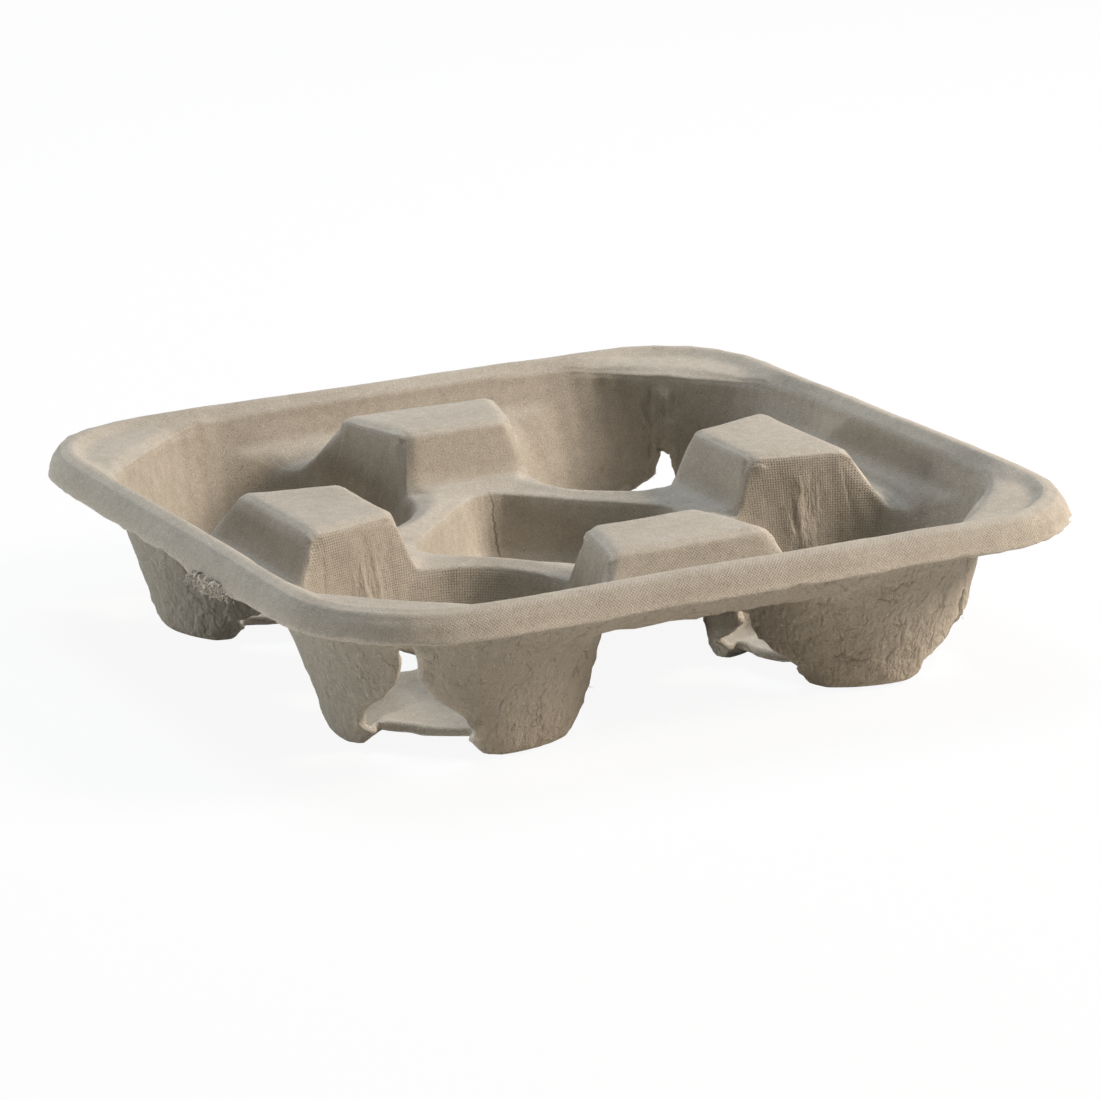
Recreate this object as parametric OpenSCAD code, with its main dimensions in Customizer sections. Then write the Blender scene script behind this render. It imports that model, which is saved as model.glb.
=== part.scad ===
// Moulded fibre carrier for four drinking cups.
// One thin wall runs everywhere: from the turned-down lip over the rim, down the drafted sides into
// four three-faced wells on feet, up over four islands, and down again into a pocket in the middle.
// The frame's origin is on the floor under the middle of the carrier, +Z up, millimetres.

/* [Carrier] */
// Overall width and depth across the lip
carrier_width = 214; // [210:0.5:218]
// Overall height from the feet to the top of the rim
carrier_height = 44.8; // [44:0.1:48]
// Thickness of the moulded wall
wall = 2.2; // [1.6:0.1:2.4]

/* [Rim] */
// Corner radius of the lip's lower edge
rim_corner_radius = 38.6; // [36:0.2:42]
// Height of the turned-down lip
lip_height = 6.8; // [5.5:0.1:8]
// How far the lip's lower edge stands out beyond its top
lip_flare = 2.8; // [1.5:0.1:4]
// Rounding of the rim's two top edges
rim_round = 2.7; // [2.5:0.1:3]
// Height of the flat ledges in the four corners
ledge_height = 42.3; // [41.5:0.1:43]

/* [Wells] */
// Distance between neighbouring wells, centre to centre
well_pitch = 107; // [105:0.2:108]
// Distance from a well's centre to its flat faces, down at the floor
well_reach = 27.35; // [27.15:0.05:28.1]
// Radius of the round lobes between the flat faces
lobe_radius = 27; // [26:0.1:27.1]
// Draft angle of the flat faces
well_draft = 10.8; // [10:0.1:11.5]

/* [Feet] */
// Height of the raised plate between the feet, above the feet
foot_depth = 4.5; // [3:0.1:6]
// Width of each arm of the raised plate
arm_width = 23; // [20:0.5:25]
// Distance from a well's centre to the free end of each arm
arm_length = 24.5; // [22:0.1:26]
// Width of the slope from an arm down to a foot
foot_slope = 5; // [4:0.1:6]
// Rounding between a foot's floor and its wall
foot_round = 1.4; // [1:0.1:1.8]

/* [Slots] */
// Width of a slot's neck
slot_neck = 4; // [3:0.1:7]
// Width of a slot where it meets the raised plate
slot_foot = 28; // [25:0.5:31]
// Height of the upper end of the corner slots
slot_top = 20.6; // [19:0.1:22]
// Height of the upper end of the slots in the islands' faces
island_slot_top = 18.2; // [17:0.1:20]
// Height of the upper end of the front corner's slot, which is torn further up
torn_top = 29.5; // [27:0.1:30.5]
// Height at which a slot has narrowed to its neck
slot_shoulder = 14.5; // [13:0.1:17]
// Height at which the torn slot starts to narrow
torn_hip = 11; // [9:0.1:13]
// Height at which the torn slot has narrowed to its neck
torn_shoulder = 24; // [22:0.1:26]

/* [Islands] */
// Height of the islands' flat tops
island_height = 44.2; // [43.4:0.1:44.4]
// Distance from the carrier's middle to an island's inner top edge
island_inner = 50.8; // [49:0.1:53]
// Distance from the carrier's middle to an island's outer top edge
island_outer = 76; // [74:0.1:78]
// Draft angle of the islands' inner faces
island_inner_draft = 18; // [12:0.5:24]
// Draft angle of the islands' outer faces
island_outer_draft = 25; // [18:0.5:30]
// Rounding of the edges of wells, islands and ledges
edge_round = 2.8; // [2.4:0.1:3.4]

/* [Saddles] */
// Height of the ridges and of the saddles behind the islands
saddle_height = 29.3; // [28.6:0.1:31]
// Height of the narrow shelf along the foot of each side
shelf_height = 33.5; // [33:0.1:35]
// Width of that shelf
shelf_width = 3.2; // [2.5:0.1:4.5]
// Rounding along the shelf and of the inner corners
inner_round = 2.8; // [2.5:0.1:3.2]

/* [Pocket] */
// Width of the square middle pocket between opposite ridges
pocket_width = 58; // [54:0.5:61]
// Corner radius of the pocket
pocket_corner = 10; // [7:0.5:14]
// Height of the pocket's floor
pocket_floor = 10.5; // [7:0.1:14]
// Draft angle of the pocket's walls
pocket_draft = 13; // [9:0.5:16]
// Rounding between the pocket's floor and its walls
pocket_round = 3.6; // [3:0.1:4.5]

/* [Hidden] */

// Directions of one well: the middle of a flat face and the lobe beside it lie this far apart
face_turn = 45;
lobe_turn = 60;
lobe_lean = lobe_turn - face_turn;
well_half = well_pitch / 2;
draft_tan = tan(well_draft);
plate_height = wall + foot_depth;

// The sides stand tangent to the lobes, so their lean follows from the wells
function reach(z) = well_reach + z * draft_tan;
function lobe_shift(z) = 2 * (reach(z) - lobe_radius);
function side_at(z) = well_half + lobe_shift(z) * cos(lobe_lean) + lobe_radius;
function side_start(z) = well_half - lobe_shift(z) * sin(lobe_lean);
side_cos = 1 / norm([1, 2 * draft_tan * cos(lobe_lean)]);

// Lip and rim
lip_low = carrier_height - lip_height;
rim_core = carrier_width / 2 - rim_corner_radius;
lip_cos = 1 / norm([1, lip_flare / lip_height]);
rim_top = carrier_width / 2 - lip_flare;
function lip_at(z) = carrier_width / 2 - lip_flare * (z - lip_low) / lip_height;

// Blends: a mix of two values, an eased step, and two bodies joined along a round edge or corner
function mix(a, b, share) = a + (b - a) * share;
function ease(share) = let (t = min(max(share, 0), 1)) t * t * (3 - 2 * t);
function round_edge(a, b, r) = min(max(a, b), -r) + norm([max(a + r, 0), max(b + r, 0)]);
function round_corner(a, b, r) = -round_edge(-a, -b, r);

// Sizes of the outline of the rim, of the pocket and of a well through a point of the plan
function rim_gauge(x, y) = y < rim_core ? y : rim_core + norm([max(x - rim_core, 0), y - rim_core]);
function pocket_gauge(x, y) =
    let (u = (x + y) / sqrt(2), v = (y - x) / sqrt(2), core = pocket_width / 2 - pocket_corner)
    v < core ? u : core + norm([u - core, v - core]);
function pocket_at(z) = pocket_width / 2 - (saddle_height - z) * tan(pocket_draft);
function face_angle(x, y) =
    let (a = atan2(y - well_half, x - well_half) - face_turn, turn = 2 * lobe_turn)
    abs(a - turn * round(a / turn));

// Signed distances, below zero inside the body that the upper skin bounds
function well_wall(x, y, z) =
    let (r = norm([x - well_half, y - well_half]), t = face_angle(x, y),
         across = r * sin(lobe_turn - t), root = sqrt(max(lobe_radius ^ 2 - across ^ 2, 0)))
    across < lobe_radius * sin(lobe_turn)
        ? (reach(z) - lobe_radius - (r * cos(lobe_turn - t) - root) / 2)
            / norm([lobe_radius / (2 * root), draft_tan])
        : (reach(z) - r * cos(t)) / norm([1, draft_tan]);
function well_floor(x, y) =
    let (off = norm([x - well_half, y - well_half]) * sin(face_angle(x, y)))
    plate_height - foot_depth * ease((off - arm_width / 2) / foot_slope);
function well_body(x, y, z) = round_corner(well_wall(x, y, z), z - well_floor(x, y), foot_round);
function pocket_body(x, y, z) =
    round_corner((pocket_at(z) - pocket_gauge(x, y)) * cos(pocket_draft), z - pocket_floor, pocket_round);
function island_body(y, z) =
    let (drop = island_height - z,
         outside = (y - island_outer - drop * tan(island_outer_draft)) * cos(island_outer_draft),
         inside = (island_inner - drop * tan(island_inner_draft) - y) * cos(island_inner_draft))
    round_edge(round_edge(-drop, outside, edge_round), inside, edge_round);
function side_body(q, z) =
    let (upper = (side_at(z) - q) * side_cos,
         lower = (side_at(z) - shelf_width - q) * side_cos)
    round_corner(upper, round_edge(z - shelf_height, lower, inner_round), inner_round);
function ledge_body(x, z) = max(z - ledge_height, side_start(ledge_height) - x);
function land_body(x, y, z, q) =
    round_corner(
        round_corner(z - saddle_height, island_body(y, z), inner_round),
        round_corner(side_body(q, z), ledge_body(x, z), inner_round),
        inner_round);
function folded_body(x, y, z) =
    let (q = rim_gauge(x, y),
         land = round_edge(land_body(x, y, z, q), well_body(x, y, z), edge_round),
         inner = round_edge(land, pocket_body(x, y, z), edge_round),
         topped = round_edge(inner, z - carrier_height, rim_round))
    round_edge(topped, (q - lip_at(z)) * lip_cos, rim_round);
function body(x, y, z) =
    let (a = abs(x), b = abs(y))
    folded_body(min(a, b), max(a, b), z);

// Height of the upper skin over a point of the plan, and the two skins there, one wall apart
grain_share = 0.00005;
grain = wall * grain_share;
probe_share = 0.0005;
probe = wall * probe_share;
halvings = 44;
function snap(p) = [for (v = p) round(v / grain) * grain + 0];
function settle(x, y, low, high, left) =
    let (middle = (low + high) / 2)
    left == 0 ? middle
        : body(x, y, middle) > 0 ? settle(x, y, low, middle, left - 1)
        : settle(x, y, middle, high, left - 1);
function slope(x, y, z) = [
    body(x + probe, y, z) - body(x - probe, y, z),
    body(x, y + probe, z) - body(x, y - probe, z),
    body(x, y, z + probe) - body(x, y, z - probe)];
function skins(p) =
    let (z = settle(p.x, p.y, 0, carrier_height + wall, halvings),
         n = slope(p.x, p.y, z))
    [snap([p.x, p.y, z]), snap([p.x, p.y, z] - wall * n / norm(n))];

// Outline of a well at a given reach. Places count the half faces passed from the middle of the corner
// face: to the outer lobe, the middle of the island face, and the inner lobe next to the carrier's middle.
lobe_place = 1;
island_place = 2;
inner_place = 3;
function half_length(at) = sqrt(3) * (at - lobe_radius) + lobe_radius * PI / 3;
function flat_half(at) = sqrt(3) * (at - lobe_radius);
function face_point(at, s) =
    s < flat_half(at)
        ? [at, s]
        : let (turn = (s - flat_half(at)) / lobe_radius * 180 / PI)
          2 * (at - lobe_radius) * [cos(lobe_turn), sin(lobe_turn)]
            + lobe_radius * [cos(turn), sin(turn)];
function turned(p, a) = [p.x * cos(a) - p.y * sin(a), p.x * sin(a) + p.y * cos(a)];
function outline(place, at) =
    let (length = half_length(at), middle = [well_half, well_half])
    place <= lobe_place ? middle + turned(face_point(at, place * length), face_turn)
        : let (s = (place - island_place) * length, p = face_point(at, abs(s)))
          middle + turned([p.x, s < 0 ? -p.y : p.y], face_turn + 2 * lobe_turn);
function on_diagonal(p) = let (s = (p.x + p.y) / 2) [s, s];

// Place at which a line of constant y meets the island side of a well's outline
function face_place(y, at) =
    let (a = face_turn + 2 * lobe_turn,
         s = (well_half + at * sin(a) - y) / -cos(a),
         flat = flat_half(at),
         lobe = y > well_half ? face_turn + lobe_turn : face_turn + 3 * lobe_turn,
         rise = (y - well_half - 2 * (at - lobe_radius) * sin(lobe)) / lobe_radius,
         turn = abs(180 - asin(rise) - a))
    abs(s) < flat ? island_place + s / half_length(at)
        : island_place + sign(s) * (flat + lobe_radius * turn * PI / 180) / half_length(at);

// Rows of the plan that cross from a well to the middle of the side, from the shelf to the plateau
island_drop = island_height - saddle_height;
outer_tangent = edge_round * tan((90 - island_outer_draft) / 2);
inner_tangent = edge_round * tan((90 - island_inner_draft) / 2);
row_y = [
    side_at(shelf_height) - shelf_width,
    side_at(saddle_height) - shelf_width - inner_round / 2,
    island_outer + island_drop * tan(island_outer_draft),
    island_outer + outer_tangent * sin(island_outer_draft),
    island_outer,
    island_outer - outer_tangent,
    outline(2, reach(island_height)).y,
    island_inner + inner_tangent,
    island_inner,
    island_inner - inner_tangent * sin(island_inner_draft),
    island_inner - island_drop * tan(island_inner_draft)];
row_z = [
    shelf_height,
    saddle_height,
    saddle_height,
    island_height - outer_tangent * cos(island_outer_draft),
    island_height,
    island_height,
    island_height,
    island_height,
    island_height,
    island_height - inner_tangent * cos(island_inner_draft),
    saddle_height];

// Columns of a well: the corner face to the start of the side, the rows, then the inner lobe
start_column = 5;
mid_column = 12;
last_row_column = start_column + len(row_y);
last_column = 19;

// How sharply a whole and a torn slot widen below their necks
slot_bend = 1.3;
torn_bend = 2;
function start_place(z) =
    let (at = reach(z))
    (flat_half(at) + lobe_radius * (90 - face_turn) * PI / 180) / half_length(at);
function top_height(c) =
    c <= start_column ? ledge_height - edge_round
        : c <= last_row_column ? row_z[c - start_column - 1]
        : saddle_height;
function top_place(c) =
    let (at = reach(top_height(c)))
    c <= start_column ? start_place(top_height(c)) * c / start_column
        : c <= last_row_column ? face_place(row_y[c - start_column - 1], at)
        : mix(face_place(row_y[len(row_y) - 1], at), inner_place,
              (c - last_row_column) / (last_column - last_row_column));

// Half the width of a slot at a height, and the even spread of the columns beside it
function slot_half(z, torn) =
    let (shoulder = torn ? torn_shoulder : slot_shoulder, hip = torn ? torn_hip : wall_start,
         share = min(max((shoulder - z) / (shoulder - hip), 0), 1))
    mix(slot_neck / 2, slot_foot / 2, share ^ (torn ? torn_bend : slot_bend));
function spread_place(c, z, torn) =
    let (length = half_length(reach(z)),
         corner = slot_half(z, torn) / length,
         island = slot_half(z, false) / length)
    c == 0 ? 0
        : c < mid_column ? mix(corner, island_place - island, (c - 1) / (mid_column - 2))
        : c == mid_column ? island_place
        : mix(island_place + island, inner_place, (c - mid_column - 1) / (last_column - mid_column - 1));

// Rings of a well: four on the floor, five up to the slots' upper end, two up to the edge
floor_shares = [0, 0.45, 0.75, 0.88, 0.926];
wall_shares = [0, 0.22, 0.45, 0.7, 1];
plate_ring = 3;
first_wall_ring = len(floor_shares);
slot_ring = first_wall_ring + len(wall_shares) - 1;
top_ring = slot_ring + 2;
wall_start = plate_height + foot_round / 2;
function below_top(c) = c <= start_column ? shelf_height : top_height(c) - edge_round;
function slot_end(c, torn) =
    let (away = min(max((c - 1) / (start_column - 1), 0), 1))
    min(mix(torn ? torn_top : slot_top, island_slot_top, away), below_top(c) - edge_round / 2);
function ring_height(c, ring, torn) =
    ring <= slot_ring
        ? mix(wall_start, slot_end(c, torn), wall_shares[max(ring - first_wall_ring, 0)])
        : ring < top_ring ? below_top(c) : top_height(c);
function by_slot(c) = c < 2 || abs(c - mid_column) < 2;
function flank_inset(c, at) =
    c > start_column + 2 && c <= last_row_column ? sign(mid_column - c) * edge_round / half_length(at) : 0;
function ring_place(c, ring, torn) =
    let (z = ring_height(c, ring, torn), even = spread_place(c, z, torn),
         lift = (z - torn_hip) / (top_height(c) - torn_hip),
         risen = mix(even, top_place(c), ease(lift)))
    ring == top_ring ? top_place(c)
        : ring > slot_ring ? risen + flank_inset(c, reach(z))
        : by_slot(c) ? even
        : risen;
function floor_share(c, ring) =
    ring == plate_ring && by_slot(c) ? arm_length / reach(wall_start) : floor_shares[ring];
function well_plan(c, ring, torn) =
    ring < first_wall_ring
        ? mix([well_half, well_half], outline(spread_place(c, wall_start, torn), reach(wall_start)),
              floor_share(c, ring))
        : outline(ring_place(c, ring, torn), reach(ring_height(c, ring, torn)));
function well_points(torn) = [
    for (c = [0 : last_column])
        [for (ring = [0 : top_ring])
            let (p = well_plan(c, ring, torn))
            skins(c == 0 || c == last_column ? on_diagonal(p) : p)]];
whole_well = well_points(false);
torn_well = well_points(true);

// Outline of the rim at a given size, from the diagonal over the start of the side to mid-side
side_steps = 3;
rim_steps = start_column + side_steps;
function rim_point(k, q) =
    let (x0 = side_start(ledge_height), r = q - rim_core, quarter = r * PI / 4,
         run = (quarter + rim_core - x0) * (1 - k / start_column))
    k >= start_column ? [x0 * (rim_steps - k) / side_steps, q]
        : run < rim_core - x0 ? [x0 + run, q]
        : let (turn = (run - rim_core + x0) / r * 180 / PI)
          [rim_core + r * sin(turn), rim_core + r * cos(turn)];
rim_foot = side_at(ledge_height);
rim_inner_share = 1.25;
rim_outer_share = 1.1;
rim_edge_share = 0.2;
lip_share = 0.45;
rim_rings = [
    rim_foot,
    rim_foot + rim_round * rim_inner_share,
    rim_top - rim_round * rim_outer_share,
    rim_top - rim_round * rim_edge_share,
    mix(rim_top, carrier_width / 2, lip_share),
    carrier_width / 2];
rim_grid = [
    for (k = [0 : rim_steps])
        [for (q = rim_rings)
            let (p = rim_point(k, q))
            skins(k == 0 ? on_diagonal(p) : p)]];

// Corner ledge, from the well's edge out to the foot of the rim
ledge_shares = [0, 0.25, 1];
ledge_grid = [
    for (c = [0 : start_column])
        let (edge = outline(start_place(ledge_height) * c / start_column, reach(ledge_height)),
             foot = rim_point(c, rim_foot))
        c == start_column
            ? [for (share = ledge_shares) rim_grid[c][0]]
            : [for (share = ledge_shares)
                let (p = mix(edge, foot, share))
                skins(c == 0 ? on_diagonal(p) : p)]];
ledge_wall = [for (c = [0 : start_column]) [whole_well[c][top_ring], ledge_grid[c][0]]];

// Side above the shelf, from its start at the lobe to mid-side
side_grid = [
    for (k = [0 : side_steps])
        [for (z = [shelf_height, ledge_height - edge_round])
            k == 0
                ? whole_well[start_column][z == shelf_height ? top_ring - 1 : top_ring]
                : skins([side_start(z) * (1 - k / side_steps), side_at(z)])]];
side_wall = [
    for (k = [0 : side_steps])
        [side_grid[k][0], side_grid[k][1], rim_grid[start_column + k][0]]];

// Shelf, saddle, island and plateau: every row runs from the well's edge to mid-side
function row_x(edge, k) = k == 1 ? edge - edge_round : edge * (1 - k / side_steps);
row_grid = concat(
    [[for (k = [0 : side_steps]) side_grid[k][0]]],
    [for (r = [0 : len(row_y) - 1])
        [for (k = [0 : side_steps])
            let (edge = whole_well[start_column + 1 + r][top_ring])
            k == 0 ? edge : skins([row_x(edge[0].x, k), row_y[r]])]]);

// Ridges and plateau round the middle pocket, then the pocket itself down to its middle
ridge_steps = side_steps + last_column - last_row_column;
function pocket_point(k, size) =
    let (r = max(pocket_corner + size - pocket_width / 2, 0), core = size - r,
         turn = face_turn * (1 - min(k / side_steps, 1)),
         slide = 1 - max((k - side_steps) / (ridge_steps - side_steps), 0),
         u = core + r * cos(turn), v = core * slide + r * sin(turn))
    k == 0 ? [0, (u + v) / sqrt(2)] : [(u - v) / sqrt(2), (u + v) / sqrt(2)];
function ridge_edge(k) =
    k <= side_steps ? row_grid[len(row_y)][side_steps - k]
        : whole_well[last_row_column + k - side_steps][top_ring];
ridge_share = 0.5;
floor_edge_share = 0.2;
pocket_sizes = [
    pocket_at(saddle_height),
    pocket_at(saddle_height - edge_round),
    pocket_at(pocket_floor + pocket_round),
    pocket_at(pocket_floor) - pocket_round * floor_edge_share,
    pocket_at(pocket_floor) - pocket_round];
function tidy(k, p) = k == 0 ? [0, p.y] : k == ridge_steps ? on_diagonal(p) : p;
pocket_middle = skins([0, 0]);
pocket_grid = [
    for (k = [0 : ridge_steps])
        let (edge = ridge_edge(k), rim = pocket_point(k, pocket_sizes[0]))
        concat(
            [edge, skins(tidy(k, mix([edge[0].x, edge[0].y], rim, ridge_share)))],
            [for (size = pocket_sizes) skins(tidy(k, pocket_point(k, size)))],
            [pocket_middle])];

// Edges of a well's slots, walked round with the opening on one side
function corner_slot(well) = concat(
    [well[0][plate_ring]],
    [for (ring = [plate_ring : slot_ring]) well[1][ring]],
    [well[0][slot_ring]]);
function island_slot(well) = concat(
    [well[mid_column][plate_ring]],
    [for (ring = [plate_ring : slot_ring]) well[mid_column + 1][ring]],
    [well[mid_column][slot_ring]],
    [for (ring = [slot_ring : -1 : plate_ring]) well[mid_column - 1][ring]],
    [well[mid_column][plate_ring]]);

// Surfaces of one eighth of the carrier, each a grid of points on both skins
function patch(well, c0, c1, r0, r1) = [for (c = [c0 : c1]) [for (ring = [r0 : r1]) well[c][ring]]];
function side_patch(well) = [
    for (c = [start_column : mid_column - 1])
        [for (ring = [0 : top_ring]) well[c][c == start_column ? min(ring, top_ring - 1) : ring]]];
function well_sheets(well) = [
    patch(well, 0, 1, 0, plate_ring),
    patch(well, 0, 1, slot_ring, top_ring),
    patch(well, 1, start_column, 0, top_ring),
    side_patch(well),
    patch(well, mid_column - 1, mid_column + 1, 0, plate_ring),
    patch(well, mid_column - 1, mid_column + 1, slot_ring, top_ring),
    patch(well, mid_column + 1, last_column, 0, top_ring)];
land_sheets = [
    ledge_wall,
    ledge_grid,
    rim_grid,
    side_wall,
    [for (k = [0 : side_steps]) [for (row = row_grid) row[side_steps - k]]],
    pocket_grid];
lip_edge = [for (column = rim_grid) column[len(rim_rings) - 1]];

// One skin of a grid, and the narrow face along a free edge
function skin(grid, side) = [for (line = grid) [for (pair = line) pair[side]]];
function edge_face(chain) = [[for (pair = chain) pair[1]], [for (pair = chain) pair[0]]];
function reversed(grid) = [for (i = [len(grid) - 1 : -1 : 0]) grid[i]];
function surfaces(well) =
    let (sheets = concat(well_sheets(well), land_sheets))
    concat(
        [for (s = sheets) skin(s, 0)],
        [for (s = sheets) reversed(skin(s, 1))],
        [for (chain = [lip_edge, corner_slot(well), island_slot(well)]) edge_face(chain)]);

// Triangles of a grid, with the empty ones at its tips left out
function triangle(a, b, c) = a == b || b == c || a == c ? [] : [[a, b, c]];
function triangles(grid) = [
    for (i = [0 : len(grid) - 2])
        for (j = [0 : len(grid[0]) - 2])
            let (a = grid[i][j], b = grid[i + 1][j], c = grid[i + 1][j + 1], d = grid[i][j + 1])
            each concat(triangle(a, b, c), triangle(a, c, d))];
function eighth(well) = [for (s = surfaces(well)) each triangles(s)];
whole_eighth = eighth(whole_well);
torn_eighth = eighth(torn_well);

// The eight mirrored copies of one eighth, with the torn slot in the front corner
function placed(p, swap, sx, sy) =
    swap ? [p.y * sx + 0, p.x * sy + 0, p.z] : [p.x * sx + 0, p.y * sy + 0, p.z];
carrier_triangles = [
    for (swap = [false, true], sx = [1, -1], sy = [1, -1])
        for (t = sx + sy < 0 ? torn_eighth : whole_eighth)
            let (q = [for (p = t) placed(p, swap, sx, sy)], odd = (swap ? -1 : 1) * sx * sy < 0)
            odd ? [q[0], q[2], q[1]] : q];

module cup_carrier() {
    color("#a99b87")
        polyhedron(
            points = [for (t = carrier_triangles) each t],
            faces = [for (i = [0 : len(carrier_triangles) - 1]) [3 * i, 3 * i + 1, 3 * i + 2]],
            convexity = 12);
}

cup_carrier();
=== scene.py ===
"""Dresses the moulded fibre cup carrier: its pulp skin, torn edges, mesh marks, light and camera."""

from __future__ import annotations

import logging
import math
from dataclasses import dataclass, field
from enum import Enum
from typing import Any

import bmesh
import bpy
import numpy as np
from bpy.types import Curve, ID, Material, Mesh, Node, NodeSocket, Object, World
from mathutils import Matrix, Vector, noise
from mathutils.bvhtree import BVHTree
from mathutils.kdtree import KDTree

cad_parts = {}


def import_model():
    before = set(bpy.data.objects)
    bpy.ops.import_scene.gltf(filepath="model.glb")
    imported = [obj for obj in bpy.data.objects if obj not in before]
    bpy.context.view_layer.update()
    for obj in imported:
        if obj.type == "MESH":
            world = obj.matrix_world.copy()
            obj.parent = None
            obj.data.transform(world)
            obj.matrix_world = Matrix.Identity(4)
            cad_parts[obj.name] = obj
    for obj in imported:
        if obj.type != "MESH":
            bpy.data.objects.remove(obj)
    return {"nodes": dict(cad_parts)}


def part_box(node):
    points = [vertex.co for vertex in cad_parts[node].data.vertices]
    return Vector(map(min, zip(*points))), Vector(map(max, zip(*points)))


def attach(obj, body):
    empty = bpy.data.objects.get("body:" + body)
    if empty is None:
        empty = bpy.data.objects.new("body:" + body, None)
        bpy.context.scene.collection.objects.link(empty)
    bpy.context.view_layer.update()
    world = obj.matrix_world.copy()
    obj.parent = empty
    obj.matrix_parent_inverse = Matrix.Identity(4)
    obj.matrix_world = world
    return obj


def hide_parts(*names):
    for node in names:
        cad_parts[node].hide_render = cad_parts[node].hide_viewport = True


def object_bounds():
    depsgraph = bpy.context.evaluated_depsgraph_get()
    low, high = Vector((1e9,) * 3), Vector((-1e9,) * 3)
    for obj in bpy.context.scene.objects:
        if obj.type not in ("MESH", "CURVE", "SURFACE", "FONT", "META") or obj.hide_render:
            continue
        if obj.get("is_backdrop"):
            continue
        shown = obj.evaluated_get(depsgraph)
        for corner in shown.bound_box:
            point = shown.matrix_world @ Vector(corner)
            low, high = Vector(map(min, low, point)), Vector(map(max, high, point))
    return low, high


log = logging.getLogger("cup_carrier")

NODE = "cup_carrier"
BODY = "root"
SKIN = "pulp_skin"
FIBRES = "torn_fibres"
MM = 0.001
# Without a seed, vector noise takes its offsets from the clock.
NOISE_SEED = 7
EASE = 0.5
PLATE_GAIN = 2.2
CREASE_GAIN = 2.4

Array = np.ndarray
Span = tuple[float, float]
Triple = tuple[float, float, float]
Colour = tuple[float, float, float, float]

WHITE: Colour = (1.0, 1.0, 1.0, 1.0)


class Side(Enum):
    """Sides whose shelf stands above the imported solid's: where they face, and how far it rises in mm."""

    LEFT = (-1, 0, 2.7)
    RIGHT = (1, 0, 2.2)
    BACK = (0, 1, 1.2)


class Mark(Enum):
    """How the forming mesh lies on a surface, as its turn in degrees."""

    SQUARE = 0.0
    TWILL = 45.0

    def laid(self, across: Array, along: Array) -> Array:
        """Finds places in the mesh's own weave.

        Args:
            across: Places across the surface in mm.
            along: Places along it.

        Returns:
            The places in the weave, one a row.
        """
        turn = math.radians(self.value)
        u = across * math.cos(turn) + along * math.sin(turn)
        v = along * math.cos(turn) - across * math.sin(turn)
        return np.column_stack([u, v, np.zeros_like(u)])


def linear(*parts: int) -> Colour:
    """Turns a colour as seen on a screen into the linear colour that shaders use.

    Args:
        parts: Red, green and blue from 0 to 255.

    Returns:
        The linear colour with full alpha.
    """
    shares = [c / 255 for c in parts]
    red, green, blue = (c / 12.92 if c <= 0.04045 else ((c + 0.055) / 1.055) ** 2.4 for c in shares)
    return (red, green, blue, 1.0)


def step(values: Array, low: float, high: float) -> Array:
    """Rises smoothly from 0 at low to 1 at high, or falls where high is the smaller."""
    share = np.clip((values - low) / (high - low), 0, 1)
    return share * share * (3 - 2 * share)


def bell(values: Array, middle: float | Array, width: float) -> Array:
    """Gives a bell curve of height 1 about a middle."""
    return np.exp(-(((values - middle) / width) ** 2))


def placed(name: str, data: ID) -> Object:
    """Makes an object of some data and puts it in the scene.

    Args:
        name: The object's name.
        data: Its mesh, curve, lamp or camera.

    Returns:
        The object.
    """
    made = bpy.data.objects.new(name, data)
    bpy.context.scene.collection.objects.link(made)
    return made


def settled(holder: Object, name: str) -> Mesh:
    """Turns an object, as its modifiers leave it, into a plain mesh, and removes the object.

    Args:
        holder: The object.
        name: The mesh's name.

    Returns:
        The mesh.
    """
    graph = bpy.context.evaluated_depsgraph_get()
    mesh = bpy.data.meshes.new_from_object(holder.evaluated_get(graph))
    bpy.data.objects.remove(holder)
    mesh.name = name
    return mesh


def dressed(name: str, mesh: Mesh, material: Material) -> Object:
    """Puts a mesh in the scene, shaded smoothly and in one material.

    Args:
        name: The object's name.
        mesh: The mesh.
        material: The only material it gets.

    Returns:
        The object.
    """
    mesh.shade_smooth()
    mesh.materials.clear()
    mesh.materials.append(material)
    return placed(name, mesh)


def store(mesh: Mesh, name: str, values: Array) -> None:
    """Keeps one number for each point as an attribute of the mesh."""
    attribute = mesh.attributes.new(name, "FLOAT", "POINT")
    attribute.data.foreach_set("value", values.astype(np.float32))


def ease(shape: bmesh.types.BMesh, turns: int) -> None:
    """Moves every point towards the middle of its neighbours, a number of times."""
    axes = {"use_axis_x": True, "use_axis_y": True, "use_axis_z": True}
    for _ in range(turns):
        bmesh.ops.smooth_vert(shape, verts=shape.verts, factor=EASE, **axes)


@dataclass(frozen=True)
class Lumps:
    """One pattern of noise: the size of its lumps in mm, how high they stand, and a seed."""

    size: float | Triple
    height: float = 1.0
    seed: float = 0.0

    def scaled(self, points: Array) -> list[list[float]]:
        """Turns places in mm into places in the pattern."""
        return (points / np.asarray(self.size) + self.seed).tolist()

    def read(self, points: Array) -> Array:
        """Reads smooth noise about 0, one value for each place."""
        return np.array([noise.noise(p) for p in self.scaled(points)]) * self.height

    def vectors(self, points: Array) -> Array:
        """Reads smooth noise vectors, one row for each place."""
        return np.array([noise.noise_vector(p) for p in self.scaled(points)]) * self.height

    def plates(self, points: Array) -> Array:
        """Reads a crackle of bark-like plates: 0 in the cracks between plates, rising to 1 on them."""
        gaps = [noise.voronoi(p)[0] for p in self.scaled(points)]
        return np.array([min(1.0, (g[1] - g[0]) * PLATE_GAIN) for g in gaps])

    def creases(self, points: Array) -> Array:
        """Reads noise folded into sharp creases: 1 on the creases, falling towards 0 beside them."""
        return 1 - np.clip(np.abs(self.read(points)) * CREASE_GAIN, 0, 1)


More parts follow.
